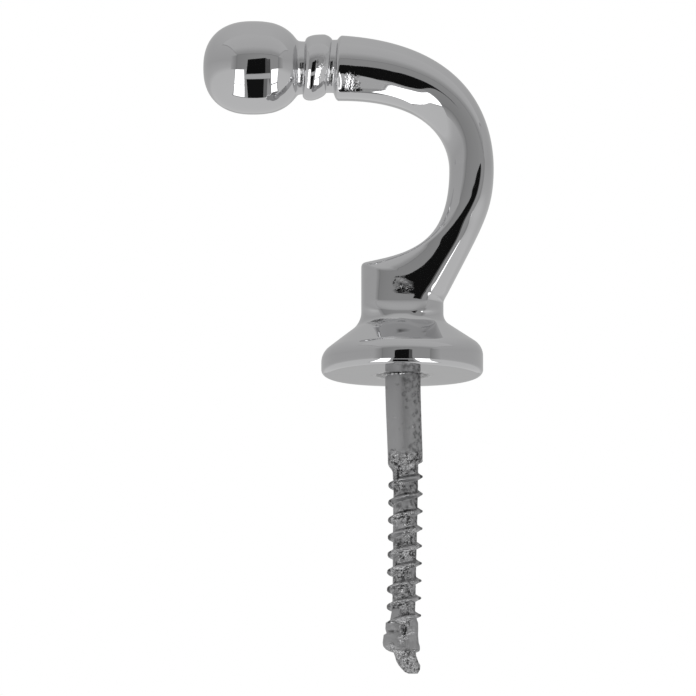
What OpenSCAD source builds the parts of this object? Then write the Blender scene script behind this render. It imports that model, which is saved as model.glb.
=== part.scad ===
// Screw hook: a ball-ended curtain tie-back hook with its flange and wood screw, cast in one piece.
// The wall is the plane z = 0. The hook stands out of it along +Z and the screw goes in along -Z.

/* [Inside of the hook] */
// Farthest reach of the hook's inside to the right of the screw axis
seat_x = 5.2; // [4.2:0.01:6.2]
// Height of that point above the wall
seat_z = 23.3; // [20:0.1:27]
// Height of the arm's underside at the collar
seat_top = 31.2; // [27:0.1:37]

/* [Arm] */
// Distance of the arm's start, at the collar, from the screw axis
arm_start = 6.9; // [6:0.1:9]
// Thickness of the arm at the collar
arm_d = 7.2; // [5.8:0.1:8.6]
// Thickness of the arm at the collar, across the plane of the hook
arm_t = 6.5; // [6.2:0.1:7.4]
// Lean of the arm's end face
end_lean = 3.5; // [0:0.1:6]
// Thickness of the arm halfway round the bend, in the plane of the hook
bend_w = 4.95; // [4:0.01:6]
// Thickness of the arm halfway round the bend, across that plane
bend_t = 7.1; // [6:0.1:8]
// Where the arm is thickest at the bend, from its middle towards its outer side, as a share
bend_ridge = 0.2; // [0:0.05:0.35]
// Lean of the straight outer flank below the bend
flank_lean = 26.8; // [22:0.1:30]

/* [Root block] */
// Width of the block where it meets the stem
block_w = 9.14; // [7.6:0.02:10.4]
// How far the block stands to the left of the screw axis
block_set = 0.05; // [0:0.01:0.1]
// Thickness of the block between its two flat faces
block_t = 7.2; // [6.2:0.1:8]
// Where the block is thickest, from its middle towards its outer side, as a share
block_ridge = 0.3; // [0:0.05:0.45]
// Height of the block's inner corner above the wall
corner_z = 12.55; // [11:0.05:15.4]
// Rounding of that corner
corner_r = 0.45; // [0.2:0.05:0.8]
// Height above the wall at which the block's foot starts to thicken
foot_top = 8; // [7.6:0.1:8.6]
// Thickness of the block's foot, between its two flat faces
foot_t = 7.86; // [7.4:0.02:8.6]

/* [Flange] */
// Diameter of the flange
flange_d = 18; // [15:0.1:22]
// Height of the widest part of the rim
rim_z = 1.7; // [1.2:0.05:2]
// Rounding between the flange's under face and its rim
foot_round = 0.75; // [0.4:0.05:1.1]
// Rounding between the rim and the flange's slope
shoulder_round = 1.9; // [1.4:0.05:2.2]
// Fall of the flange's slope
cove_slope = 36.5; // [34:0.5:38]
// Radius of the hollow between block and slope, at the sides
cove_r = 2; // [1.5:0.1:2.4]
// Radius of the same hollow, in front and behind
cove_front_r = 1.25; // [1:0.05:1.6]

/* [Ball end] */
// Diameter of the ball
ball_d = 10.44; // [8.6:0.02:12.6]
// Length of the ball along its axis, as if the neck were not there
ball_l = 11.1; // [9.2:0.1:13.2]
// Fullness of the ball's shoulders: 2 is an ellipse
ball_full = 2.35; // [2:0.05:3]
// Diameter of the neck, and of the groove between collar and arm
neck_d = 5.88; // [4.6:0.02:6.4]
// Distance between the arm's start and the middle of the ball
ball_reach = 9.8; // [8.6:0.1:11.6]
// Diameter of the collar
collar_d = 7.24; // [6.2:0.02:8.6]
// Length of the collar
collar_l = 3.0; // [2.4:0.1:3.6]
// Distance between the arm's start and the middle of the collar
collar_reach = 2.7; // [2.5:0.1:3.3]
// Lean of the collar's side faces
collar_lean = 5; // [0:0.5:8]
// Climb of the collar towards the arm
collar_climb = 5; // [0:0.5:8]

/* [Screw] */
// Diameter of the plain shank
shank_d = 3.95; // [3.4:0.05:4.8]
// Length of the plain shank
shank_l = 9.7; // [6:0.1:12]
// Casting fillet between shank and flange
shank_fillet = 0.35; // [0.2:0.05:0.5]
// Diameter of the thread's core at its top
core_d = 3.1; // [2.7:0.05:3.2]
// Diameter of the thread's core at its bottom
core_end_d = 2.6; // [2.2:0.05:2.8]
// Diameter over the thread's crests
thread_d = 3.88; // [3.4:0.02:4.6]
// Rise of the thread in one turn
pitch = 1.94; // [1.6:0.01:2.34]
// Height of the first full crest below the wall, on the right-hand side
thread_top = 11.35; // [10:0.1:14]
// Number of full turns
turns = 8.9; // [7:0.1:9.2]

/* [Tip] */
// Depth of the screw's broken tip below the wall
screw_l = 33.5; // [32:0.1:38]
// Sideways set of the tip
tip_set = 1.2; // [0:0.1:1.5]
// Thickness of the flash fins left by the mould
flash_t = 0.6; // [0.3:0.1:1]
// Reach of the left flash lobe from the screw axis
lobe_reach = 2.15; // [1.8:0.05:2.2]
// Reach of the right flash plate from the screw axis
plate_reach = 1.75; // [1.5:0.05:1.9]

/* [Hidden] */

$fn = 64;
ring_points = 36;     // points round each section of the arm
bend_steps = 13;      // sections from collar to bend, and again from bend to corner
foot_steps = 5;       // sections in each third of the foot
arc_steps = 8;        // points on a rounded corner
turn_steps = 20;      // sections in one turn of the thread
bury = 1.2;           // how far a piece runs on inside its neighbour
flange_r = flange_d / 2;
neck_r = neck_d / 2;
shank_r = shank_d / 2;
end_axis_z = seat_top + arm_d / 2;

// ---------- curves ----------
function unit(a) = [cos(a), sin(a)];
function mix(a, b, t) = a + (b - a) * t;
function ease(t) = t * t * (3 - 2 * t);
function signed_pow(v, e) = sign(v) * pow(abs(v), e);

// Cubic curve from p to q that leaves p at angle a and reaches q at angle b, with handles ha and hb.
function curve(p, a, ha, q, b, hb, t) =
    pow(1 - t, 3) * p + 3 * pow(1 - t, 2) * t * (p + ha * unit(a))
    + 3 * (1 - t) * t * t * (q - hb * unit(b)) + pow(t, 3) * q;

// Points of an arc about c, from angle a to angle b.
function arc(c, r, a, b, n = arc_steps) = [for (i = [0 : n]) c + r * unit(mix(a, b, i / n))];

// ---------- arm and block: sections strung between an inner and an outer edge ----------
inner_start = [-arm_start, seat_top];
inner_bend = [seat_x, seat_z];
block_left = -block_w / 2 - block_set;
corner_turn = 76;     // how far the corner turns, from the top's slope to the upright side
inner_corner = [block_left + corner_r * (1 - cos(corner_turn)), corner_z];
outer_start = inner_start + arm_d * unit(90 - end_lean);
outer_bend = [seat_x + bend_w, seat_z];
block_right = block_w / 2 - block_set;
flank_end = [block_right + 0.55, foot_top + 1.4];

top_span = inner_bend.x - inner_start.x;
drop = inner_bend.y - inner_corner.y;

function inner_edge(s) = s <= 1
    ? curve(inner_start, 0, 0.87 * top_span, inner_bend, -90, 2.5, s)
    : curve(inner_bend, -90, 0.945 * drop, inner_corner, -166, 0.33 * drop, s - 1);
function outer_edge(s) = s <= 1
    ? curve(outer_start, -4.3, 0.885 * (outer_bend.x - outer_start.x), outer_bend, -90, 4.67, s)
    : curve(outer_bend, -90, 0.345 * (outer_bend.y - flank_end.y), flank_end, -90 - flank_lean,
            0.59 * (outer_bend.y - flank_end.y), s - 1);

// Shape of a section: half thickness, ridge, then how full and how round its inner and outer sides are.
// A fullness and a roundness of 2 make an ellipse.
collar_shape = [arm_t / 2, 0, 2, 2.3, 2, 2.1];
bend_shape = [bend_t / 2, bend_ridge, 2.7, 3.1, 3.1, 2.5];
block_shape = [block_t / 2, block_ridge, 4.4, 3.3, 2.8, 1.75];
foot_shape = [foot_t / 2, 0, 2.6, 2.6, 2.2, 2.1];
round_shape = [foot_t / 2, 0, 2, 2, 2, 2];

function shape(s) = s <= 1
    ? mix(collar_shape, bend_shape, ease(s))
    : mix(bend_shape, block_shape, ease(s - 1));

// One closed section between two edge points. Its thickest line stands off the middle by the ridge.
function section(inner, outer, form) =
    let (mid = (inner + outer) / 2, half = (outer - inner) / 2, ridge = form[1])
    [for (i = [0 : ring_points - 1])
        let (c = cos(360 * i / ring_points), s = sin(360 * i / ring_points),
             u = c > 0 ? ridge + (1 - ridge) * pow(c, 2 / form[3])
                       : ridge - (1 + ridge) * pow(-c, 2 / form[2]),
             v = signed_pow(s, 2 / (c > 0 ? form[5] : form[4])),
             at = mid + u * half)
        [at.x, v * form[0], at.y]];

// The rounded shoulder where the arm rises out of the groove.
shoulder_l = 1.0;
function shoulder_section(a) =
    let (size = mix(neck_r * 0.8, arm_d / 2, sin(a)) / (arm_d / 2),
         mid = (inner_start + outer_start) / 2 - shoulder_l * cos(a) * unit(-end_lean),
         half = (outer_start - inner_start) / 2 * size)
    section(mid - half, mid + half,
            [size * arm_t / 2, 0, collar_shape[2], collar_shape[3], collar_shape[4], collar_shape[5]]);

// The block below its corner: the corner's rounding, then straight down to the foot.
function block_section(t) =
    let (turn = min(t / 0.4, 1) * corner_turn,
         low = max(t - 0.4, 0) / 0.6,
         corner = inner_corner + corner_r * (unit(180 - corner_turn + turn) - unit(180 - corner_turn)),
         inner = [corner.x, mix(corner.y, foot_top, low)],
         outer = t <= 0.4
             ? curve(flank_end, -90 - flank_lean, 0.55, [block_right, foot_top + 0.1], -90, 0.4, t / 0.4)
             : [block_right, mix(foot_top + 0.1, foot_top, low)])
    section(inner, outer, block_shape);

// ---------- flange: the line of its slope, and the foot that spreads onto it ----------
shoulder_c = [flange_r - shoulder_round, rim_z];
shoulder_end = shoulder_c + shoulder_round * unit(90 - cove_slope);
function slope_z(r) = shoulder_end.y + (shoulder_end.x - r) * tan(cove_slope);

// A half profile of the foot at step t: the block's end for t = 0 to 1, then the hollow for 1 to 2, which
// stops short of the slope's own fall and runs straight on through it for 2 to 3.
hollow_turn = 90 - cove_slope - 8;
function hollow_z(reach, r) = slope_z(reach + r * (1 - sin(cove_slope))) + r * cos(cove_slope);
function foot_point(reach, r, t) =
    let (top = hollow_z(reach, r), turn = hollow_turn * min(max(t - 1, 0), 1), on = max(t - 2, 0))
    [reach + r * (1 - cos(turn)) + on * sin(hollow_turn),
     (t <= 1 ? mix(foot_top, top, t) : top - r * sin(turn)) - on * cos(hollow_turn)];

// A ring laid through the side and front half profiles.
function foot_ring(t) =
    let (right = foot_point(block_right, cove_r, t),
         left = foot_point(-block_left, cove_r, t),
         front = foot_point(foot_t / 2, cove_front_r, t),
         form = t <= 1 ? mix(block_shape, foot_shape, ease(t)) : mix(foot_shape, round_shape, ease(min(t - 1, 1))),
         points = section([-left.x, 0], [right.x, 0],
             [t <= 1 ? form[0] : front.x, form[1], form[2], form[3], form[4], form[5]]))
    [for (p = points)
        let (side = p.x > 0 ? right : left, share = pow(p.x / side.x, 2))
        [p.x, p.y, mix(front.y, side.y, share)]];

// Skin over a list of closed rings, with a flat face at each end.
module loft(rings) {
    n = len(rings[0]);
    last = len(rings) - 1;
    points = [for (ring = rings) each ring];
    sides = [for (k = [0 : last - 1], i = [0 : n - 1])
        let (j = (i + 1) % n) each
        [[k * n + i, k * n + j, (k + 1) * n + j], [k * n + i, (k + 1) * n + j, (k + 1) * n + i]]];
    polyhedron(points, concat(
        [[for (i = [n - 1 : -1 : 0]) i]],
        sides,
        [[for (i = [0 : n - 1]) last * n + i]]));
}

module arm() {
    loft(concat(
        [for (i = [0 : 4]) shoulder_section(18 * i)],
        [for (i = [0 : 2 * bend_steps])
            let (s = i / bend_steps)
            section(inner_edge(s), outer_edge(s), shape(s))],
        [for (i = [1 : 10]) block_section(i / 10)],
        [for (i = [1 : foot_steps * 3]) foot_ring(i / foot_steps)]));
}

// Under face, rim, shoulder and slope: one turned form.
module flange() {
    rotate_extrude()
        polygon(concat(
            [[0, 0]],
            arc([flange_r - foot_round, foot_round], foot_round, -90, 0),
            arc(shoulder_c, shoulder_round, 0, 90 - cove_slope),
            [[3, slope_z(3)], [0, slope_z(3)]]));
}

// ---------- ball, neck and collar: turned forms on a level axis ----------
// Radius of a bead with half-length l and height h, at distance x from its middle.
function bead(x, l, h, full) = h * pow(max(1 - pow(abs(x) / l, full), 0), 1 / full);

module turned(points) {
    rotate([0, 90, 0]) rotate_extrude() polygon(points);
}

module ball() {
    half = ball_l / 2;
    steps = 28;
    translate([-arm_start - ball_reach, 0, end_axis_z])
        rotate([0, 180, 0])
            turned(concat(
                [[0, -ball_reach + collar_reach], [neck_r, -ball_reach + collar_reach]],
                [for (i = [1 : steps])
                    let (x = -half * cos(180 * i / steps), r = bead(x, half, ball_d / 2, ball_full))
                    if (x > -half * 0.9) [i == steps ? 0 : r, x]]));
}

module collar() {
    steps = 16;
    half = collar_l / 2;
    translate([-arm_start - collar_reach, 0, end_axis_z])
        multmatrix([[1, 0, tan(collar_lean), 0], [0, 1, 0, 0], [tan(collar_climb), 0, 1, 0]])
            turned(concat(
                [[0, -half], [neck_r, -half]],
                [for (i = [1 : steps - 1])
                    let (x = -half * cos(180 * i / steps))
                    [neck_r + bead(x, half, collar_d / 2 - neck_r, 2.5), x]],
                [[neck_r, half], [neck_r, collar_reach], [0, collar_reach]]));
}

// ---------- screw ----------
thread_end = thread_top + turns * pitch;

module shank() {
    translate([0, 0, -shank_l]) cylinder(r = shank_r, h = shank_l + bury);
    rotate_extrude()
        polygon(concat(
            [[0, bury], [0, -shank_fillet]],
            arc([shank_r + shank_fillet, -shank_fillet], shank_fillet, 180, 90),
            [[shank_r + shank_fillet, bury]]));
}

module core() {
    translate([0, 0, -thread_end - bury])
        cylinder(r1 = core_end_d / 2, r2 = core_d / 2, h = thread_end + bury - shank_l + 0.5);
}

// One ridge wound down the core, rising from nothing over its first and last half turns.
module thread() {
    run_in = 0.4;
    first = -ceil(run_in * turn_steps);
    last = floor(turns * turn_steps);
    ridge_w = 0.62 * pitch;
    crest_w = 0.22 * pitch;
    loft([for (k = [first : last])
        let (turn = k / turn_steps,
             z = -thread_top - turn * pitch,
             core_r = mix(core_d, core_end_d, (k - first) / (last - first)) / 2,
             rise = min(1, (turn + run_in) / run_in + 0.1, (turns - turn) / run_in + 0.1),
             crest = mix(core_r - 0.05, thread_d / 2, rise),
             root = core_r - 0.3)
        [for (p = [[root, ridge_w / 2], [crest - 0.08, crest_w / 2], [crest, 0],
                   [crest - 0.08, -crest_w / 2], [root, -ridge_w / 2]])
            [p[0] * cos(-360 * turn), p[0] * sin(-360 * turn), z + p[1]]]]);
}

// The last millimetres: a crooked tongue, with mould flash each side of it.
module tip() {
    top = thread_end - 0.4;
    hull() {
        translate([0, 0, -top]) cylinder(r = core_end_d / 2, h = 0.4, $fn = 24);
        translate([0.1, 0, -screw_l + 2.4]) scale([1, 0.8, 1]) sphere(r = 1.15, $fn = 16);
        translate([tip_set, 0, -screw_l + 0.6]) scale([1, 0.7, 1]) sphere(r = 0.6, $fn = 16);
    }
}

module flat_plate(points) {
    rotate([90, 0, 0]) linear_extrude(flash_t, center = true) polygon(points);
}

module flash() {
    lobe_z = -thread_end - 1.4;
    flat_plate(concat(
        [[0, lobe_z + 1.1]],
        arc([-lobe_reach + 0.6, lobe_z + 0.4], 0.6, 90, 180),
        arc([-lobe_reach + 0.9, lobe_z], 0.9, 180, 290),
        [[0, lobe_z - 1.2]]));
    flat_plate([[0, -thread_end + 1.2], [plate_reach - 0.1, -thread_end + 0.6],
        [plate_reach - 0.15, -thread_end - 1.6], [plate_reach, -thread_end - 2.1],
        [plate_reach, -thread_end - 2.5], [0, -thread_end - 2.5]]);
}

module screw_hook() color("silver") union() {
    flange();
    arm();
    ball();
    collar();
    shank();
    core();
    thread();
    tip();
    flash();
}

screw_hook();
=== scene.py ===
# %% [markdown]
# # A cast screw hook in bright chrome
# The real part is one casting: a ball-ended hook, a round flange and a wood screw. It is polished above the
# wall, left rough below it, and then chrome plated all over. A plated surface is a mirror, so nearly all that
# is seen on it is the studio around it. Two things therefore matter more than colour: surfaces whose normals
# turn smoothly, and a studio with real walls, windows and dark panels for them to reflect.
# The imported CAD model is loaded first. It gives the frame, and its box is the limit for every piece.

# %% Load the frame
import math
import bmesh
import bpy
from mathutils import Matrix, Vector, noise
from mathutils.geometry import interpolate_bezier


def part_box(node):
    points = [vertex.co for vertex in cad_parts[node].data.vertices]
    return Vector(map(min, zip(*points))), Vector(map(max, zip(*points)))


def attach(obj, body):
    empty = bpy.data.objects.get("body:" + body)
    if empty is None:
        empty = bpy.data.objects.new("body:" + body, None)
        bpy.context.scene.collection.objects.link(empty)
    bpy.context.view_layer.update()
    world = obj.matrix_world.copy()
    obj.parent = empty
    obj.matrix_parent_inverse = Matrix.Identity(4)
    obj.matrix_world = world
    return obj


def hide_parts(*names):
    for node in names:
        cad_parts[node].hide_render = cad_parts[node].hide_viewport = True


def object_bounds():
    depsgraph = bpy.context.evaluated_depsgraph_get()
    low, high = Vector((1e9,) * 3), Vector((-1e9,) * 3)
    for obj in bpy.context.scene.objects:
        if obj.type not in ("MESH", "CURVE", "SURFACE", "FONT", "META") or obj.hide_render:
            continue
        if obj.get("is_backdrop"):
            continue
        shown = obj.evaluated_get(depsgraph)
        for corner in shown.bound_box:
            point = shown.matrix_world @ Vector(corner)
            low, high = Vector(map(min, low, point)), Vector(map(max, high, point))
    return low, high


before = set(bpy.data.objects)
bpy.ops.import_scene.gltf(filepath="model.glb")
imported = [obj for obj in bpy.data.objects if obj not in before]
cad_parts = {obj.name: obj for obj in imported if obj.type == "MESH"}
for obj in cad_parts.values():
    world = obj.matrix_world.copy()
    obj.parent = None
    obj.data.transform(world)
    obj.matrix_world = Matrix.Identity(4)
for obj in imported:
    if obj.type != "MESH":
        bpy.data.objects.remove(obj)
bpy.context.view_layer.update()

hook_low, hook_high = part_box("screw_hook")
print("CAD box in mm:", [round(1000 * v, 2) for v in (*hook_low, *hook_high)])

# %% [markdown]
# ## Sizes
# The casting's sizes are those of the CAD source, in millimetres. Each piece is built in millimetres, which
# keeps the numbers readable, and is scaled to metres as its last step.

# %% Sizes of the casting
MM = 0.001
FLANGE_R, SHOULDER_R, FOOT_R = 8.99, 1.9, 0.65
SEAT_X, SEAT_Z, SEAT_TOP = 5.2, 23.3, 31.2
ARM_START, ARM_D, END_LEAN = 6.9, 7.2, 3.5
BEND_W, BLOCK_LEFT, BLOCK_RIGHT = 4.95, -4.62, 4.52
CORNER_Z, CORNER_R, BLOCK_FOOT, FRONT_R = 12.55, 0.45, 8.0, 3.93
BALL_R, BALL_HALF, BALL_FULL, NECK_R = 5.22, 5.55, 2.35, 2.94
BALL_X, COLLAR_X, COLLAR_R, COLLAR_HALF = -16.7, -9.6, 3.62, 1.5
AXIS_Z = SEAT_TOP + ARM_D / 2
ARM_FLAT = 0.9  # depth of the arm at the collar, as a share of its height
SHANK_R, SHANK_L, CREST_R, PITCH = 1.975, 9.7, 1.91, 1.94
THREAD_TOP, TURNS, SCREW_L = 11.35, 8.9, 33.5
print("ball centre", (BALL_X, 0, AXIS_Z), "thread ends at", round(-THREAD_TOP - TURNS * PITCH, 2))

# %% [markdown]
# ## Helpers
# A piece starts as a bmesh. `finish_piece` welds and closes it, turns its faces outward, smooths them, scales
# the mesh to metres and links the object at the origin, where the frame wants it. It also stores three
# numbers from -1 to 1 on every point: "pebble" tells the material how rough the casting was left there,
# "buffed" how much it shows the marks of the buff, and the third how much its colour is darkened there,
# by dirt and by painted shade.

# %% Turn a bmesh into a piece
def nowhere(p):
    return 0.0


def finish_piece(bm, name, material, pebble=nowhere, buffed=nowhere, dirt_and_shade=nowhere, weld=0.002):
    bmesh.ops.remove_doubles(bm, verts=bm.verts, dist=weld)
    bmesh.ops.holes_fill(bm, edges=bm.edges, sides=0)
    bmesh.ops.recalc_face_normals(bm, faces=bm.faces)
    for layer_name, amount in (("pebble", pebble), ("buffed", buffed), ("dirt_and_shade", dirt_and_shade)):
        layer = bm.verts.layers.float.new(layer_name)
        for vert in bm.verts:
            vert[layer] = min(max(amount(vert.co), -1.0), 1.0)
    for face in bm.faces:
        face.smooth = True
    bmesh.ops.scale(bm, vec=(MM, MM, MM), verts=bm.verts)
    mesh = bpy.data.meshes.new(name)
    bm.to_mesh(mesh)
    triangles = sum(len(face.verts) - 2 for face in bm.faces)
    open_edges = sum(1 for edge in bm.edges if edge.is_boundary)
    bm.free()
    piece = bpy.data.objects.new(name, mesh)
    bpy.context.scene.collection.objects.link(piece)
    mesh.materials.append(material)
    print(f"{name}: {triangles} triangles, {open_edges} open edges")
    return piece

# %% Small maths helpers
# `near` is a soft spot: 1 at its centre, falling away over its size, both in millimetres.
def mix(a, b, t):
    return a + (b - a) * t


def ease(t):
    t = min(max(t, 0.0), 1.0)
    return t * t * (3 - 2 * t)


def near(point, centre, size):
    return math.exp(-sum(((p - c) / r) ** 2 for p, c, r in zip(point, centre, size)))


def soft_max(a, b, k):
    return (a + b + math.sqrt((a - b) ** 2 + k * k)) / 2


def soft_min(a, b, k):
    return (a + b - math.sqrt((a - b) ** 2 + k * k)) / 2


def direction(degrees):
    return Vector((math.cos(math.radians(degrees)), 0, math.sin(math.radians(degrees))))


def bezier(p, angle_p, hand_p, q, angle_q, hand_q, count):
    return interpolate_bezier(p, p + hand_p * direction(angle_p), q - hand_q * direction(angle_q), q, count)

# %% [markdown]
# ## Materials
# Chrome is a white metal with almost no colour of its own. On the hook it is polished by hand, which leaves
# long low waves and, where the buff can't reach, a pebbled skin. On the screw the plating lies on the bare
# casting, so it is duller and pitted. Both are one Principled shader with metal at 1; noise on Object
# coordinates drives the roughness and the bump, so the grain has its real size.

# %% Nodes for a metal, its grain and its bumps
def new_material(name):
    material = bpy.data.materials.new(name)
    material.use_nodes = True
    nodes, links = material.node_tree.nodes, material.node_tree.links
    shader = nodes["Principled BSDF"]
    shader.inputs["Metallic"].default_value = 1.0
    coords = nodes.new("ShaderNodeTexCoord")
    return material, nodes, links, shader, coords.outputs["Object"]


def add_noise(nodes, links, coords, size_mm, detail=2.0, roughness=0.5):
    node = nodes.new("ShaderNodeTexNoise")
    node.inputs["Scale"].default_value = 1 / (size_mm * MM)
    node.inputs["Detail"].default_value = detail
    node.inputs["Roughness"].default_value = roughness
    links.new(coords, node.inputs["Vector"])
    return node.outputs["Fac"]


def add_range(nodes, links, value, low, high, to_low, to_high):
    node = nodes.new("ShaderNodeMapRange")
    for name, number in zip(("From Min", "From Max", "To Min", "To Max"), (low, high, to_low, to_high)):
        node.inputs[name].default_value = number
    links.new(value, node.inputs["Value"])
    return node.outputs["Result"]


def add_bump(nodes, links, height, depth_mm, below=None):
    node = nodes.new("ShaderNodeBump")
    node.inputs["Strength"].default_value = 1.0
    node.inputs["Distance"].default_value = depth_mm * MM
    links.new(height, node.inputs["Height"])
    if below is not None:
        links.new(below, node.inputs["Normal"])
    return node.outputs["Normal"]

# %% Nodes for the numbers stored on the points
def add_attribute(nodes, name):
    node = nodes.new("ShaderNodeAttribute")
    node.attribute_name = name
    return node.outputs["Fac"]


def add_maths(nodes, links, operation, first, second):
    node = nodes.new("ShaderNodeMath")
    node.operation, node.use_clamp = operation, True
    links.new(first, node.inputs[0])
    links.new(second, node.inputs[1])
    return node.outputs["Value"]


def add_tone(nodes, links, value, lightest_grey, darkest_grey):
    # The ramp darkens the base colour from the first grey towards the second, for dirt and for painted shade.
    ramp = nodes.new("ShaderNodeValToRGB")
    for element, grey in zip(ramp.color_ramp.elements, (lightest_grey, darkest_grey)):
        element.color = (grey, grey, 1.012 * grey, 1)
    links.new(value, ramp.inputs["Fac"])
    return ramp.outputs["Color"]

# %% Grain where the casting was left rough
def add_pebbles(nodes, links, coords, size_mm, depth_mm, below, patch_mm=None):
    share = add_attribute(nodes, "pebble")
    if patch_mm:
        patches = add_noise(nodes, links, coords, patch_mm)
        share = add_maths(nodes, links, "ADD", share, add_range(nodes, links, patches, 0.35, 0.65, -0.5, 0.5))
    grain = add_noise(nodes, links, coords, size_mm, roughness=0.6)
    height = add_maths(nodes, links, "MULTIPLY", grain, share)
    return share, grain, add_bump(nodes, links, height, depth_mm, below)

# %% Marks of the buff
def add_streaks(nodes, links, coords, fine_mm, long_mm, depth_mm, below):
    stretch = nodes.new("ShaderNodeVectorMath")
    stretch.operation = "MULTIPLY"
    stretch.inputs[1].default_value = (1 / fine_mm, 1 / long_mm, 1 / long_mm)
    links.new(coords, stretch.inputs[0])
    streaks = add_noise(nodes, links, stretch.outputs["Vector"], 1.0, detail=3.0, roughness=0.6)
    height = add_maths(nodes, links, "MULTIPLY", streaks, add_attribute(nodes, "buffed"))
    return add_bump(nodes, links, height, depth_mm, below)

# %% Polished chrome
bright_chrome, nodes, links, shader, coords = new_material("bright_chrome")
waves = add_bump(nodes, links, add_noise(nodes, links, coords, 3.5, detail=1.0), 0.015)
streaks = add_streaks(nodes, links, coords, 0.3, 3.0, 0.05, waves)
rough_share, _, bump = add_pebbles(nodes, links, coords, 0.4, 0.4, streaks)
links.new(bump, shader.inputs["Normal"])
links.new(add_range(nodes, links, rough_share, 0, 1, 0.03, 0.1), shader.inputs["Roughness"])
# The base colour is darkened by the stored dirt and painted shade.
links.new(add_tone(nodes, links, add_attribute(nodes, "dirt_and_shade"), 0.6, 0.1), shader.inputs["Base Color"])
print(bright_chrome.name, "has", len(nodes), "nodes")

# %% Chrome on the bare casting
cast_chrome, nodes, links, shader, coords = new_material("cast_chrome")
lumps = add_bump(nodes, links, add_noise(nodes, links, coords, 1.3, detail=1.5), 0.025)
rough_share, grain, bump = add_pebbles(nodes, links, coords, 0.34, 0.6, lumps, patch_mm=1.5)
links.new(bump, shader.inputs["Normal"])
links.new(add_range(nodes, links, rough_share, 0, 0.7, 0.55, 0.13), shader.inputs["Roughness"])
# Pits, and the stored dirt and painted shade broken up by the grain, darken the base colour.
pits = add_maths(nodes, links, "MULTIPLY", add_range(nodes, links, grain, 0.5, 0.36, 0, 1), rough_share)
mottled = add_maths(nodes, links, "MULTIPLY", add_attribute(nodes, "dirt_and_shade"),
                    add_range(nodes, links, grain, 0.58, 0.42, 0.5, 1.2))
pits_dirt_and_shade = add_maths(nodes, links, "ADD", pits, mottled)
links.new(add_tone(nodes, links, pits_dirt_and_shade, 0.5, 0.06), shader.inputs["Base Color"])
print(cast_chrome.name, "has", len(nodes), "nodes")

# %% [markdown]
# ## Ball, collar, arm and block
# From the ball to the foot of the block the casting is one tapering, bending limb. It is made as a loft: a
# circle for each section, shaped and set between an inner and an outer edge, and every circle bridged to the
# next. The section's ridge, its deepest line, can stand off the middle, and the curve on each side of it has
# two numbers for how full and how round it is. That covers the whole change from a circle through the bend,
# which is flatter on its back, to the nearly square block.

# %% One section of the limb
AROUND = 120
ROUND = (0.0, 2.0, 2.0, 2.0, 2.0)


def section(bm, inner, outer, depth, shape=ROUND):
    ridge, inner_full, outer_full, inner_round, outer_round = shape
    middle, half = (inner + outer) / 2, (outer - inner) / 2
    made = bmesh.ops.create_circle(bm, segments=AROUND, radius=1.0)["verts"]
    for vert in made:
        c, s = vert.co.x, vert.co.y
        if c > 0:
            along = ridge + (1 - ridge) * c ** (2 / outer_full)
            across = abs(s) ** (2 / outer_round)
        else:
            along = ridge - (1 + ridge) * abs(c) ** (2 / inner_full)
            across = abs(s) ** (2 / inner_round)
        place = middle + along * half
        vert.co = (place.x, math.copysign(across, s) * depth, place.z)
    return made


def ring_edges(ring):
    members = set(ring)
    return {edge for vert in ring for edge in vert.link_edges if edge.other_vert(vert) in members}


def bridge_rings(bm, rings):
    for first, second in zip(rings, rings[1:]):
        bmesh.ops.bridge_loops(bm, edges=list(ring_edges(first) | ring_edges(second)))
    for end in (rings[0], rings[-1]):
        bmesh.ops.contextual_create(bm, geom=list(ring_edges(end)))

# %% Shape of the section along the limb
# Place (0 collar, 1 bend, 2 corner), depth, ridge, inner and outer fullness, inner and outer roundness.
STATIONS = (
    (0.00, 3.25, -0.11, 3.20, 2.30, 2.70, 2.14),
    (0.18, 3.22, -0.05, 2.90, 2.30, 2.65, 2.28),
    (0.40, 3.23, 0.07, 1.49, 2.44, 3.17, 2.40),
    (0.70, 3.36, 0.22, 1.90, 2.83, 3.11, 2.51),
    (1.00, 3.57, 0.23, 2.50, 2.90, 3.51, 2.60),
    (1.20, 3.61, 0.16, 2.97, 2.90, 3.75, 2.48),
    (1.45, 3.62, -0.04, 3.46, 3.38, 3.55, 2.18),
    (1.70, 3.62, 0.22, 2.34, 3.89, 3.20, 2.18),
    (1.90, 3.61, 0.36, 2.58, 3.31, 3.15, 2.36),
    (2.10, 3.59, 0.27, 3.77, 4.04, 3.33, 1.85),
    (2.22, 3.58, 0.31, 4.80, 3.20, 2.90, 1.60),
    (2.35, 3.60, 0.22, 5.56, 3.10, 2.83, 1.55),
)
LIMB_END = STATIONS[-1][0]


# The values between two rows follow a Hermite curve, so the surface has no kink at a row.
def shape_at(place):
    k = max(i for i, row in enumerate(STATIONS[:-1]) if row[0] <= place)
    a, b = STATIONS[k], STATIONS[k + 1]
    before, after = STATIONS[max(k - 1, 0)], STATIONS[min(k + 2, len(STATIONS) - 1)]
    width = b[0] - a[0]
    t = min((place - a[0]) / width, 1)
    values = []
    for i in range(1, 7):
        start = (b[i] - before[i]) / (b[0] - before[0]) * width
        end = (after[i] - a[i]) / (after[0] - a[0]) * width
        values.append((2 * t ** 3 - 3 * t * t + 1) * a[i] + (t ** 3 - 2 * t * t + t) * start
                      + (3 * t * t - 2 * t ** 3) * b[i] + (t ** 3 - t * t) * end)
    return values[0], values[1:]

# %% [markdown]
# The ball, neck and collar were turned true in the pattern, but filing and buffing by hand have left them a
# little different on top, underneath and in front. So each of these three lines has its own numbers, and a
# section takes its two edges and its depth from them. A bead is one side of a superellipse, and a soft maximum
# joins ball and neck with the small fillet that polishing leaves.

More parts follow.
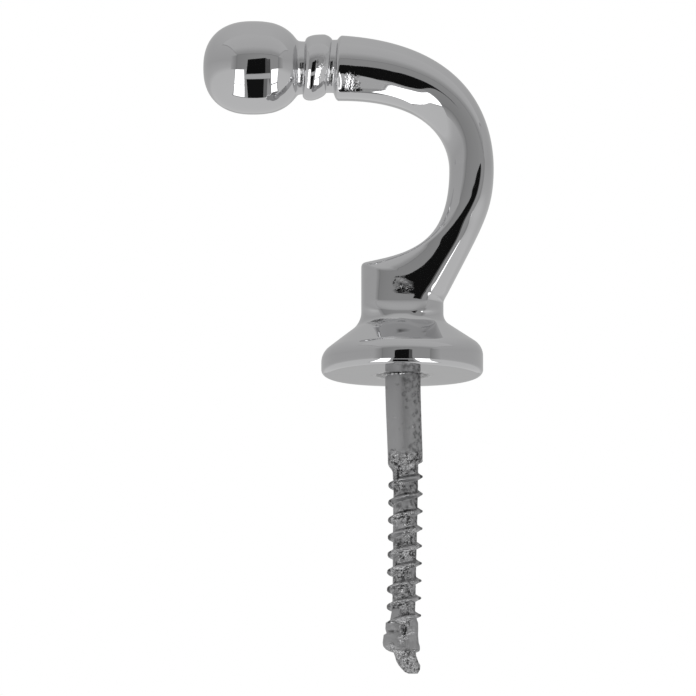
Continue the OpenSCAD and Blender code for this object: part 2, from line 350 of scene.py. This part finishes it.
# %% Lines of the ball end
# Collar: crest radius and place, reach and fullness towards the neck, then towards the arm. After it come
# the groove's radius and the arm's shoulder: where it is full, and its length.
TOP_LINE = (3.73, -8.75, 2.1, 2.5, 0.9, 1.5, 3.13, -6.68, 0.75)
FOOT_LINE = (3.65, -10.22, 0.95, 2.5, 1.67, 1.5, 2.78, -7.12, 0.62)
FRONT_LINE = (3.65, -9.86, 1.1, 2.5, 1.75, 1.5, 2.9, -6.9, 0.7)


def bead(x, half, height, fullness):
    return height * max(1 - abs(x / half) ** fullness, 0) ** (1 / fullness)


def line_radius(x, line):
    crest, place, left, left_full, right, right_full, groove, arm_x, shoulder = line
    ball = bead(x - BALL_X, BALL_HALF, BALL_R, BALL_FULL if x < BALL_X else BALL_FULL + 0.1)
    if x < BALL_X + 2:
        return ball
    if x < place:
        collar = NECK_R + bead(x - place, left, crest - NECK_R, left_full)
    else:
        collar = groove + bead(x - place, right, crest - groove, right_full)
    risen = math.sqrt(max(1 - (max(arm_x - x, 0) / shoulder) ** 2, 0))
    arm = mix(0.75 * NECK_R, ARM_D / 2, risen) if risen else 0
    return soft_max(soft_max(ball, collar, 0.35), arm, 0.12)


def ball_end_places():
    places = [BALL_X - BALL_HALF * math.cos(math.pi * i / 90) for i in range(1, 78)]
    neck_from = places[-1]
    steps = 90
    return places + [mix(neck_from, -ARM_START, i / steps) for i in range(1, steps)]


bm = bmesh.new()
rings = []
for x in ball_end_places():
    lean = math.tan(math.radians(END_LEAN)) * ARM_D / 2 * ease((x + 12.2) / 1.4)
    top, foot, front = (line_radius(x + shift, line)
                        for shift, line in ((lean, TOP_LINE), (-lean, FOOT_LINE), (0, FRONT_LINE)))
    depth = mix(front, front * ARM_FLAT, ease((x + 7.9) / 1.0))
    shape = [mix(a, b, ease((x + 7.7) / 0.8)) for a, b in zip(ROUND, shape_at(0)[1])]
    lower, upper = Vector((x - lean, 0, AXIS_Z - foot)), Vector((x + lean, 0, AXIS_Z + top))
    rings.append(section(bm, lower, upper, depth, shape))
print("sections on the ball end:", len(rings))

# %% [markdown]
# Past the collar the section's two edges part company. The inner edge is the seat that a cord hangs in, and
# the outer edge is the back of the bend. Each is two Bezier curves that meet, upright, at the bend.

# %% Inner edge of the arm
UPPER, LOWER = 72, 60  # steps above and below the bend
CORNER_TURN = 76
inner_start, inner_bend = Vector((-ARM_START, 0, SEAT_TOP)), Vector((SEAT_X, 0, SEAT_Z))
corner_x = BLOCK_LEFT + CORNER_R * (1 - math.cos(math.radians(CORNER_TURN)))
inner_corner = Vector((corner_x, 0, CORNER_Z))
span, drop = SEAT_X + ARM_START, SEAT_Z - CORNER_Z
inner_edge = bezier(inner_start, 0, 0.87 * span, inner_bend, -90, 2.5, UPPER + 1)
inner_edge += bezier(inner_bend, -90, 0.945 * drop, inner_corner, -166, 0.33 * drop, LOWER + 1)[1:]
print("seat ends at the block's corner, x", round(corner_x, 2))

# %% Outer edge of the arm
FLANK_ANGLE = -116.8
outer_start = inner_start + ARM_D * direction(90 - END_LEAN)
outer_bend = Vector((SEAT_X + BEND_W, 0, SEAT_Z))
flank_end = Vector((BLOCK_RIGHT + 0.55, 0, BLOCK_FOOT + 1.4))
span, drop = outer_bend.x - outer_start.x, SEAT_Z - flank_end.z
outer_edge = bezier(outer_start, -4.3, 0.885 * span, outer_bend, -90, 4.67, UPPER + 1)
outer_edge += bezier(outer_bend, -90, 0.345 * drop, flank_end, FLANK_ANGLE, 0.59 * drop, LOWER + 1)[1:]
print("back of the bend at x", round(outer_bend.x, 2))

# %% Sections of the arm
for i, (inner, outer) in enumerate(zip(inner_edge, outer_edge)):
    depth, shape = shape_at(i / UPPER if i <= UPPER else 1 + (i - UPPER) / LOWER)
    rings.append(section(bm, inner, outer, depth, shape))
print("sections with the arm:", len(rings))

# %% [markdown]
# Next to the collar a file has left a long flat on each side of the arm, below its middle. It leans under by
# about 23 degrees, ends in a crisp edge and runs out towards the bend. A soft minimum cuts it: each point keeps
# the smaller of its own depth and the flat's.

# %% The filed flats
FLAT_FROM, FLAT_TO, FLAT_ABOVE = -7.3, 3.5, 25
FLAT_TOP, FLAT_DEPTH, FLAT_LEAN = 33.47, 3.21, 23.5
filed = 0
for vert in bm.verts:
    reach = abs(vert.co.y)
    if reach > 0.5 and FLAT_FROM < vert.co.x < FLAT_TO and vert.co.z > FLAT_ABOVE:
        along = vert.co.x + 4.75
        start = FLAT_TOP - 0.17 * along - 0.012 * along ** 2
        flat = FLAT_DEPTH - math.tan(math.radians(FLAT_LEAN)) * (start - vert.co.z)
        crispness = mix(0.05, 0.09, ease((vert.co.z - 32.2) / 1.0))
        blend = ease((vert.co.x - FLAT_FROM) / 0.4) * ease((FLAT_TO - vert.co.x) / 3.0)
        vert.co.y = math.copysign(mix(reach, soft_min(reach, flat, crispness), blend), vert.co.y)
        filed += flat < reach
print("points under the file:", filed)

# %% The block below its corner
heel = Vector((BLOCK_RIGHT, 0, BLOCK_FOOT + 0.1))
TURNING, FALLING = 10, 14  # steps round the corner, and down to the foot
heel_curve = bezier(flank_end, FLANK_ANGLE, 0.55, heel, -90, 0.4, TURNING + 1)
for i in range(1, TURNING + FALLING + 1):
    turn, low = min(i / TURNING, 1) * CORNER_TURN, max(i - TURNING, 0) / FALLING
    corner = inner_corner + CORNER_R * (direction(180 - CORNER_TURN + turn) - direction(180 - CORNER_TURN))
    inner = Vector((corner.x, 0, mix(corner.z, BLOCK_FOOT, low)))
    outer = heel_curve[i] if i <= TURNING else Vector((BLOCK_RIGHT, 0, mix(heel.z, BLOCK_FOOT, low)))
    depth, block_shape = shape_at(2 + (LIMB_END - 2) * i / (TURNING + FALLING))
    rings.append(section(bm, inner, outer, depth, block_shape))
print("sections with the block:", len(rings))

# %% [markdown]
# ## Foot and flange
# The block runs down into a hollow cove, the cove into a sloping flange and the slope over a buffed shoulder
# to the rim. Files and buffs left this foot different on each side: its shoulder is lower in front and on the
# left, and higher on the right. So it has three half profiles, each from the block's foot to the shank, and
# every ring is laid through all three.

# %% Half profile of the foot
STEM_STEPS, HOLLOW_STEPS = 12, 16
FILLET_R, FILLET_X = 0.14, 2.12


def foot_profile(stem, hollow_r, hollow_slope, rim_z):
    slope = math.radians(hollow_slope)
    points = []
    end = (FLANGE_R - SHOULDER_R * (1 - math.sin(slope)), rim_z + SHOULDER_R * math.cos(slope))
    start_x = stem + hollow_r * (1 - math.sin(slope))
    start = (start_x, end[1] + (end[0] - start_x) * math.tan(slope))
    hollow_z = start[1] + hollow_r * math.cos(slope)
    for i in range(1, STEM_STEPS + 1):
        points.append((stem, mix(BLOCK_FOOT, hollow_z, i / STEM_STEPS)))
    for i in range(1, HOLLOW_STEPS + 1):
        turn = (math.pi / 2 - slope) * i / HOLLOW_STEPS
        points.append((stem + hollow_r * (1 - math.cos(turn)), hollow_z - hollow_r * math.sin(turn)))
    for i in range(1, 9):
        points.append((mix(start[0], end[0], i / 8), mix(start[1], end[1], i / 8)))
    for i in range(1, 17):
        tilt = (math.pi / 2 - slope) * (1 - i / 16)
        points.append((FLANGE_R - SHOULDER_R * (1 - math.cos(tilt)), rim_z + SHOULDER_R * math.sin(tilt)))
    for i in range(1, 5):
        points.append((FLANGE_R, mix(rim_z, FOOT_R, i / 4)))
    for i in range(1, 13):
        turn = math.pi / 2 * i / 12
        points.append((FLANGE_R - FOOT_R * (1 - math.cos(turn)), FOOT_R * (1 - math.sin(turn))))
    for reach in (7.5, 6.0, 4.6, 3.7, 3.3, 3.0, 2.8, 2.6, 2.45, 2.3, 2.2, FILLET_X):
        points.append((reach, 0))
    for i in range(1, 7):
        turn = math.pi / 2 * i / 6
        points.append((FILLET_X - FILLET_R * math.sin(turn), -FILLET_R * (1 - math.cos(turn))))
    points.append((1.85, -0.2))
    return points


left_side = foot_profile(-BLOCK_LEFT, 2.6, 38, 1.48)
right_side = foot_profile(BLOCK_RIGHT, 1.5, 34, 2.2)
front_side = foot_profile(FRONT_R, 1.25, 34.7, 1.45)
print("hollows start at z", [round(side[STEM_STEPS - 1][1], 2) for side in (left_side, front_side, right_side)])

# %% [markdown]
# Going down, the block's square section becomes a round one. The hand-finished foot isn't quite true either:
# it stands a little to the left of the block, its slope is fuller behind, and the rim leans in front.

# %% Rings of the foot
depth_above = depth
for i, (left, right, front) in enumerate(zip(left_side, right_side, front_side)):
    roundness = ease((i - 1) / 24)
    shape = [mix(a, b, roundness) for a, b in zip(block_shape, ROUND)]
    depth = front[0]
    if i < STEM_STEPS:
        narrowed = 1 - (1 - ((i + 1) / STEM_STEPS) ** 1.4) ** 1.25
        depth = mix(depth_above, front[0], narrowed)
    ring = section(bm, Vector((-left[0], 0, 0)), Vector((right[0], 0, 0)), depth, shape)
    for vert in ring:
        side = right[1] if vert.co.x > 0 else left[1]
        share = (vert.co.x / (right[0] if vert.co.x > 0 else left[0])) ** 2
        vert.co.z = mix(front[1], side, share)
        if vert.co.y > 4 and vert.co.z < 1.2:
            vert.co.z += 0.13 * ((vert.co.y - 4) / 5) ** 2
        if vert.co.y < 0:
            across = 0.05 * vert.co.x * (1 - (vert.co.x / 9.2) ** 2) + 0.012
            vert.co.y += ease((i - 20) / 10) * across
        vert.co.x -= 0.07 * ease((i - STEM_STEPS + 1) / HOLLOW_STEPS)
    rings.append(ring)
bridge_rings(bm, rings)

# %% [markdown]
# Four places escaped the buff: round the shank under the flange, the flat beside the collar, the collar itself
# and a nick in the foot. A casting pit in the block has kept dirt, and painted shade darkens the flange's
# under face round the shank. The buff's own marks show on the neck, the collar and the groove.

# %% Where the body is rough, dirty, painted with shade or streaked
def pit(p):
    return near((p.x, p.z), (-0.4, 9.75), (0.28, 0.5)) if p.y < 0 else 0


def body_pebbling(p):
    under = 0.9 * near((math.hypot(p.x, p.y), p.z), (2.5, -0.1), (0.5, 0.3))
    flat = 0.22 * near((p.x, p.z), (-5.7, 32.7), (0.7, 0.9))
    collar = 0.16 * near((p.x, p.z), (-8.9, 34.6), (0.5, 1.4))
    nick = 0.7 * near((p.x, p.z), (-2.75, 5.3), (0.75, 0.4)) if p.y < 0 else 0
    return under + flat + collar + nick + 0.6 * pit(p)


def body_dirt_and_shade(p):
    # Painted shade: a dark ring on the flange's under face round the shank. Dirt: the casting pit.
    shade_round_shank = near((math.hypot(p.x, p.y),), (2.5,), (0.55,)) if p.z < 0.2 else 0
    patchy = 0.5 + 1.2 * noise.noise(p / 0.3)
    return patchy * (1.9 * pit(p) + 2.2 * shade_round_shank)


def body_buffing(p):
    neck, collar, groove = (near((p.x,), (x,), (size,))
                            for x, size in ((-11.5, 0.8), (-9.4, 0.8), (-7.9, 0.45)))
    return neck + 0.25 * collar + 0.9 * groove


body = finish_piece(bm, "hook_body", bright_chrome, body_pebbling, body_buffing, body_dirt_and_shade)

# %% [markdown]
# ## Screw
# The screw was cast with the hook, in a mould of two halves, and nobody polished it. It is bowed a little to
# the right, its skin is lumpy, and flash is left at its end. Each part is made true first; then `weather` bows
# it and moves its points by a smooth noise.

# %% Bow and lumps
def bow(z):
    return 0.3 * ease(-z / 12) - 0.22 * ease((-z - 11) / 17)


def weather(bm, depth, size, where=lambda p: 1.0):
    for vert in bm.verts:
        p = vert.co.copy()
        lump = noise.noise(p / size) + 0.5 * noise.noise(p * 2.3 / size + Vector((7, 3, 1)))
        away = Vector((p.x, p.y, 0)).normalized()
        vert.co += away * lump * depth * where(p)
        vert.co.x += bow(p.z)


print("bow in mm at z -12 and -28:", round(bow(-12), 2), round(bow(-28), 2))

# %% Shank
SHANK_STEPS, SHANK_END_R = 130, 1.42
bm = bmesh.new()
rings = []
for i in range(SHANK_STEPS + 1):
    z = mix(0.4, -SHANK_L - 1.9, i / SHANK_STEPS)
    radius = mix(1.965, 1.935, ease(-z / 9))
    ring = bmesh.ops.create_circle(bm, segments=96, radius=radius)["verts"]
    for vert in ring:
        right_end, left_end = ease((-9.6 - z) / 0.4), ease((-9.9 - z) / 1.0)
        share = 0.5 + 0.5 * vert.co.x / radius
        reach = mix(radius, SHANK_END_R, mix(left_end, right_end, ease(share)))
        vert.co = (vert.co.x * reach / radius, vert.co.y * reach / radius, z)
    rings.append(ring)
bridge_rings(bm, rings)
weather(bm, 0.03, 1.1, lambda p: 0.2 + 1.4 * ease((-8.3 - p.z) / 1.0))

# %% Grain, stains and painted shade of the shank
def shank_pebbling(p):
    return -0.5 + 0.3 * noise.noise(p / 1.3) + 1.1 * ease((-8.2 - p.z) / 0.9)


def shank_stains_and_shade(p):
    # Blotchy stains that painted shade pushes to the right, more painted shade on the right half and along the
    # right edge, and a darker rough end.
    cloud = noise.noise(p / 0.55) + 0.45 * p.x / SHANK_R
    blotches = ease((cloud + 0.25 * ease((p.z + 3.5) / 2) - 0.3) / 0.25)
    edge = ease((p.x - bow(p.z) - 1.45) / 0.5)
    return 0.12 * ease((p.x + 0.5) / 2) + 0.38 * blotches + 0.2 * edge + 0.25 * ease((-8.8 - p.z) / 0.8)


shank = finish_piece(bm, "screw_shank_skin", cast_chrome, shank_pebbling, dirt_and_shade=shank_stains_and_shade)

# %% [markdown]
# A spin with a step along its axis is a screw. The profile is one pitch of the thread, with its height held
# as a number from 1 at the root to 2 at the crest, so that the core can taper and the crest run in and out
# after the winding.

# %% One pitch of the thread
bm = bmesh.new()
outline = ((1.0, 0.5), (1.0, 0.23), (1.6, 0.11), (2.0, 0.05),
           (2.0, -0.05), (1.6, -0.11), (1.0, -0.21), (1.0, -0.5))
verts = [bm.verts.new((r, 0, z * PITCH)) for r, z in outline]
for pair in zip(verts, verts[1:]):
    bm.edges.new(pair)
bmesh.ops.bevel(bm, geom=verts[1:7], offset=0.05, offset_type="OFFSET", segments=3, profile=0.5,
                affect="VERTICES", material=-1)
bmesh.ops.subdivide_edges(bm, edges=[e for e in bm.edges if e.calc_length() > 0.3], cuts=3)
print("points in one pitch:", len(bm.verts))

# %% Wind the thread
RUN_IN, PER_TURN = 1.5, 100  # turns wound before the ridge, and steps in a turn
whole = RUN_IN + TURNS
count = round(whole * PER_TURN)
bmesh.ops.rotate(bm, verts=bm.verts, cent=(0, 0, 0), matrix=Matrix.Rotation(2 * math.pi * RUN_IN, 3, "Z"))
bmesh.ops.translate(bm, verts=bm.verts, vec=(0, 0, -THREAD_TOP + RUN_IN * PITCH))
bmesh.ops.spin(bm, geom=bm.verts[:] + bm.edges[:], cent=(0, 0, 0), axis=(0, 0, 1), use_merge=False,
               angle=-2 * math.pi * count / PER_TURN, dvec=(0, 0, -PITCH / PER_TURN), steps=count)
print("steps wound:", count)

# %% Give the thread its core, crest and ends
CORE_TOP, CORE_END = 1.4, 1.24
RIDGE_EARLY, RIDGE_LATE, RIDGE_GROWS = 0.45, 0.1, 0.4  # in turns
for vert in bm.verts:
    radius, z = math.hypot(vert.co.x, vert.co.y), vert.co.z
    turn = (-z - THREAD_TOP) / PITCH
    core = mix(CORE_TOP, CORE_END, (turn + RUN_IN) / whole)
    rise = ease((turn + RIDGE_EARLY) / RIDGE_GROWS) * ease((TURNS + RIDGE_LATE - turn) / RIDGE_GROWS)
    new_radius = core + (radius - 1.0) * (CREST_R - core) * rise
    vert.co.x *= new_radius / radius
    vert.co.y *= new_radius / radius
weather(bm, 0.035, 0.8)

# %% [markdown]
# Painted shade lies on the upper flank of each ridge, in blotches along the root, and down both sides, where
# the mould's halves met, most on the right; the upper turns are darker as well. `below_crest` says how far a
# point is below the nearest crest, in pitches, which is how the painted shade follows the winding.

# %% Grain and painted shade of the thread
def below_crest(p):
    turns = (-p.z - THREAD_TOP) / PITCH + math.atan2(p.y, p.x - bow(p.z)) / (2 * math.pi)
    return turns - round(turns)


def thread_pebbling(p):
    return 0.5 + 0.5 * noise.noise(p / 1.3) - 0.4 * ease((p.z + 15.5) / 1.5)


def thread_painted_shade(p):
    # Painted shade on the upper flank, in the root and down both sides, more on the right; the upper turns are
    # darker too.
    upper_flank_shade = near((below_crest(p),), (-0.15,), (0.06,))
    root = ease((abs(below_crest(p)) - 0.12) / 0.15)
    blotches = ease(noise.noise(p / 0.6 + Vector((3, 0, 5))) / 0.3 + 0.3)
    across = p.x - bow(p.z)
    sides = 1.3 * ease((-across - 1.45) / 0.3) + 1.3 * ease((across - 1.5) / 0.3)
    sides += 0.7 * root * ease((across - 0.9) / 0.45)
    return 0.45 * upper_flank_shade + 0.42 * root * blotches + sides + 0.2 * ease((p.z + 15.5) / 1.5)


thread = finish_piece(bm, "screw_thread_skin", cast_chrome, thread_pebbling, dirt_and_shade=thread_painted_shade, weld=0.004)

# %% [markdown]
# The point never filled properly in the mould. Below the thread the metal spread into a round lobe of flash
# on the left and a flat plate on the right, with a groove between them, and it ends in a crooked tongue.

# %% Tip
TIP_STEP = 0.08
TIP = (  # height, left reach, right reach, half depth
    (-26.2, -1.22, 1.24, 1.20), (-27.4, -1.45, 1.55, 1.18), (-27.7, -1.93, 1.66, 1.15),
    (-28.4, -1.96, 1.68, 1.12), (-28.85, -1.82, 1.66, 1.08), (-29.05, -2.16, 1.66, 1.05),
    (-29.9, -2.26, 1.73, 1.00), (-30.3, -2.20, 1.85, 0.98), (-30.65, -1.90, 1.86, 0.95),
    (-30.84, -1.55, 1.80, 0.93), (-31.0, -1.05, 1.42, 0.90), (-31.5, -0.88, 1.50, 0.86),
    (-32.0, -0.75, 1.66, 0.78), (-32.45, -0.46, 1.86, 0.70), (-32.9, -0.07, 1.85, 0.55),
    (-33.15, 0.17, 1.74, 0.42), (-33.33, 0.55, 1.62, 0.28), (-33.4, 0.80, 1.40, 0.15))
bm = bmesh.new()
rings = []
for (z, left, right, depth), below in zip(TIP, TIP[1:]):
    steps = max(round((z - below[0]) / TIP_STEP), 1)
    for i in range(steps):
        t = i / steps
        height, a, b, half = (mix(p, q, t) for p, q in zip((z, left, right, depth), below))
        left_edge, right_edge = Vector((a, 0, height)), Vector((b, 0, height))
        rings.append(section(bm, left_edge, right_edge, half, (0, 2.6, 2.6, 2.2, 2.2)))
bridge_rings(bm, rings)

# %% Its groove and lumps
# The reaches above already hold the bow, so it is taken out before `weather` puts it in.
def tip_lumps(p):
    return 0.1 + 0.8 * ease((-30.6 - p.z) / 0.5) + near((p.x, p.z), (0.1, -29.0), (0.4, 1.4))


for vert in bm.verts:
    groove = near((vert.co.x, vert.co.z), (0.12, -28.9), (0.24, 1.5))
    vert.co.y *= 1 - 0.4 * groove
    vert.co.x -= bow(vert.co.z)
weather(bm, 0.06, 0.7, tip_lumps)

# %% Grain and painted shade of the tip
def tip_pebbling(p):
    return -0.4 + 0.9 * ease((-30.6 - p.z) / 0.4) + 1.1 * near((p.x, p.z), (0.2, -29.2), (0.5, 1.8))


def tip_painted_shade(p):
    # Painted shade in the notch across the left lobe, in the groove and along the right edge; the whole tip is
    # a little darker too.
    notch_shade = near((p.x + 0.4 * (p.z + 28.5), p.z), (-1.1, -28.75), (0.8, 0.16))
    groove = near((p.x, p.z), (0.25, -28.6), (0.25, 0.9))
    return 0.08 + 0.7 * notch_shade + 0.7 * groove + 0.25 * ease((p.x - 1.3) / 0.4)


tip = finish_piece(bm, "screw_tip_skin", cast_chrome, tip_pebbling, dirt_and_shade=tip_painted_shade)

# %% [markdown]
# ## Riding on the frame
# Every piece moves with the part's single body and stands for the CAD node.

# %% Ride
for piece in (body, shank, thread, tip):
    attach(piece, "root")
    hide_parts("screw_hook")
print("pieces on the frame:", [piece.name for piece in (body, shank, thread, tip)])

# %% [markdown]
# ## Studio
# Chrome shows its surroundings, so the studio is built like a product tent: grey cloth all round, a dark gap
# where the camera looks in, and a tall white window at each side of it. The tent and its panels are real
# meshes far from the hook. The camera doesn't see them, so any view can be taken through the cloth.

# %% Glowing cloth
LAMPS = 1.3


def glow(name, levels):
    material = bpy.data.materials.new(name)
    material.use_nodes = True
    nodes, links = material.node_tree.nodes, material.node_tree.links
    nodes.clear()
    emission = nodes.new("ShaderNodeEmission")
    emission.inputs["Strength"].default_value = LAMPS
    output = nodes.new("ShaderNodeOutputMaterial")
    links.new(emission.outputs["Emission"], output.inputs["Surface"])
    ramp = nodes.new("ShaderNodeValToRGB")
    for place, _ in levels[2:]:
        ramp.color_ramp.elements.new(place)
    for element, (place, grey) in zip(ramp.color_ramp.elements, sorted(levels)):
        element.position, element.color = place, (grey, grey, grey, 1)
    links.new(ramp.outputs["Color"], emission.inputs["Color"])
    return material, nodes, links, ramp.inputs["Fac"]


# %% Things that belong to the studio
def stage_mesh(bm, name, material):
    mesh = bpy.data.meshes.new(name)
    bm.to_mesh(mesh)
    bm.free()
    thing = bpy.data.objects.new(name, mesh)
    bpy.context.scene.collection.objects.link(thing)
    mesh.materials.append(material)
    thing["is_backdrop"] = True
    return thing


def hang(bm, name, material):
    cloth = stage_mesh(bm, name, material)
    cloth.visible_camera = cloth.visible_shadow = False
    return cloth

# %% [markdown]
# The tent is one big ball of cloth, brighter low down, where the lamps stand, than above. Panels hang inside
# it. A panel is given by the directions of its four corners as seen from the hook: degrees to the right, and
# degrees up from level, with -90 straight down. Its brightness is one number, or a list of places and levels
# for cloth that fades upwards or across.

# %% The tent
TENT_R = 3.4
CLOTH_LEVELS = [(0, 0.56), (0.38, 0.54), (0.46, 0.44), (0.6, 0.38), (0.78, 0.41), (1, 0.47)]
bm = bmesh.new()
bmesh.ops.create_uvsphere(bm, u_segments=48, v_segments=24, radius=TENT_R)
material, nodes, links, level = glow("tent_cloth", CLOTH_LEVELS)
height = nodes.new("ShaderNodeSeparateXYZ")
links.new(nodes.new("ShaderNodeTexCoord").outputs["Object"], height.inputs["Vector"])
links.new(add_range(nodes, links, height.outputs["Z"], -TENT_R, TENT_R, 0, 1), level)
hang(bm, "tent", material)
print("tent across in metres:", 2 * TENT_R)

# %% One panel of the tent
CENTRE = Vector((-0.006, 0, 0.003))


def panel(name, levels, top_left, top_right, foot_left, foot_right, distance=3.0, across=False):
    bm = bmesh.new()
    bmesh.ops.create_grid(bm, x_segments=20, y_segments=20, size=0.5)
    place = bm.verts.layers.float.new("place")
    for vert in bm.verts:
        vert[place] = 0.5 + (vert.co.x if across else vert.co.y)
        top = mix(Vector(top_left), Vector(top_right), vert.co.x + 0.5)
        foot = mix(Vector(foot_left), Vector(foot_right), vert.co.x + 0.5)
        right, up = (math.radians(v) for v in mix(foot, top, vert.co.y + 0.5))
        forward = math.cos(right)
        vert.co = CENTRE + distance * Vector((math.sin(right), -forward * math.cos(up), forward * math.sin(up)))
    if isinstance(levels, float):
        levels = [(0, levels), (1, levels)]
    material, nodes, links, level = glow(name + "_cloth", levels)
    links.new(add_attribute(nodes, "place"), level)
    return hang(bm, name, material)

# %% Roof, apron and front wall
ROOF_LEVELS = [(0, 0.30), (0.1, 0.34), (0.2, 0.40), (0.32, 0.45), (1, 0.48)]
APRON_LEVELS = [(0, 0.245), (0.35, 0.28), (0.5, 0.3), (1, 0.3)]
FADE_IN, FADE_OUT = [(0, 0.385), (1, 0.255)], [(0, 0.245), (1, 0.385)]
panel("roof", ROOF_LEVELS, (-45, 80), (58, 80), (-23, 25), (43, 28), 3.2)
panel("roof_seam_left", 0.3, (-47, 80), (-45, 80), (-24, 25), (-23, 25), 3.1)
panel("roof_seam_right", 0.32, (58, 80), (60, 80), (43, 28), (44, 28), 3.1)
panel("roof_hem", 0.24, (-23, 25), (43, 27), (-23, 23), (43, 24.5), 3.2)
panel("apron", APRON_LEVELS, (-22, 23), (42, 24.5), (-24, -14), (43, -12), 3.2, across=True)
panel("apron_fade_left", FADE_IN, (-36, 24), (-24, 23), (-38, -14), (-26, -14), 3.25, across=True)
panel("apron_fade_right", FADE_OUT, (43.5, 25), (56, 26), (45, -12), (58, -12), 3.25, across=True)
panel("apron_hem_left", 0.22, (-24, 23), (-22, 23), (-26, -14), (-24, -14), 3.2)
panel("apron_hem_right", 0.23, (41, 25), (43.5, 25), (42, -12), (45, -12), 3.2)
panel("front_wall", 0.33, (-28.5, -13.5), (44, -12), (-27, -92), (35, -91), 3.1)

# %% Gap and windows
WINDOW = 2.0
panel("dark_gap_top", 0.006, (-5.5, 10), (14.5, 15), (-7.5, -26), (15, -24))
panel("dark_gap_side", 0.08, (14.5, 15), (19, 12), (15, -24), (20, -24))
panel("gap_bar", 0.43, (-10, -28), (20, -25), (-10, -37.5), (20, -37.5), 2.9)
panel("dark_gap_foot", 0.008, (-7, -38.5), (12, -38.5), (-4.5, -91), (8.5, -91))
panel("dark_foot_side", 0.15, (12, -38.5), (18.5, -38.5), (8.5, -91), (13, -91))
panel("rear_foot", 0.39, (-12, -166), (12, -166), (-12, -176), (12, -176))
panel("window_left", WINDOW, (-27, -14.5), (-11, -15), (-27.5, -53), (-10, -53))
panel("window_left_low", WINDOW, (-27.5, -54.5), (-10, -54.5), (-25, -89), (-8.5, -89))
panel("window_right", WINDOW, (22, -15.5), (43.5, -12.5), (21, -54), (38, -53))
panel("window_right_low", WINDOW, (20.5, -57), (37, -56.5), (17.5, -89), (33, -89))

# %% Floor
FLOOR_Z = -0.25
pale = bpy.data.materials.new("pale_floor")
pale.use_nodes = True
paint = pale.node_tree.nodes["Principled BSDF"]
paint.inputs["Base Color"].default_value = (0.85, 0.85, 0.85, 1)
paint.inputs["Roughness"].default_value = 0.9
bm = bmesh.new()
bmesh.ops.create_grid(bm, x_segments=1, y_segments=1, size=2.0)
bmesh.ops.translate(bm, verts=bm.verts, vec=(0, 0, FLOOR_Z))
floor = stage_mesh(bm, "floor", pale)
floor.visible_glossy = False
print("floor at", FLOOR_Z, "m")

# %% [markdown]
# The background is white to the camera and to whatever mirrors it, and lights the rest of the scene at 0.6.

# %% Background
world = bpy.data.worlds.new("studio")
bpy.context.scene.world = world
world.use_nodes = True
nodes, links = world.node_tree.nodes, world.node_tree.links
background = nodes["Background"]
background.inputs["Color"].default_value = (1, 1, 1, 1)
path = nodes.new("ShaderNodeLightPath").outputs
mirrored = add_maths(nodes, links, "MAXIMUM", path["Is Glossy Ray"], path["Is Transmission Ray"])
seen = add_maths(nodes, links, "MAXIMUM", path["Is Camera Ray"], mirrored)
links.new(add_range(nodes, links, seen, 0, 1, 0.6, 1.0), background.inputs["Strength"])
print("background nodes:", len(nodes))

# %% [markdown]
# ## Camera
# A long lens from about a metre, a little below the hook and looking up, so that the flange's under face shows.

# %% Camera
RISE = math.radians(9.3)
SENSOR, DISTANCE, SEEN_WIDTH = 36, 1000, 77.33  # millimetres
look = Vector((0, math.cos(RISE), math.sin(RISE)))
target = Vector((-6.09, 0, 3.1)) * MM
camera_data = bpy.data.cameras.new("camera")
camera_data.sensor_width = SENSOR
camera_data.lens = SENSOR * DISTANCE / SEEN_WIDTH
camera_data.clip_start, camera_data.clip_end = 0.01, 100
camera = bpy.data.objects.new("camera", camera_data)
bpy.context.scene.collection.objects.link(camera)
camera.location = target - look * DISTANCE * MM
camera.rotation_euler = look.to_track_quat("-Z", "Y").to_euler()
bpy.context.scene.camera = camera
bpy.context.scene.view_settings.view_transform = "Standard"
print("lens in mm:", round(camera_data.lens))

low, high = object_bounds()
print("visual box in mm:", [round(1000 * v, 2) for v in (*low, *high)])
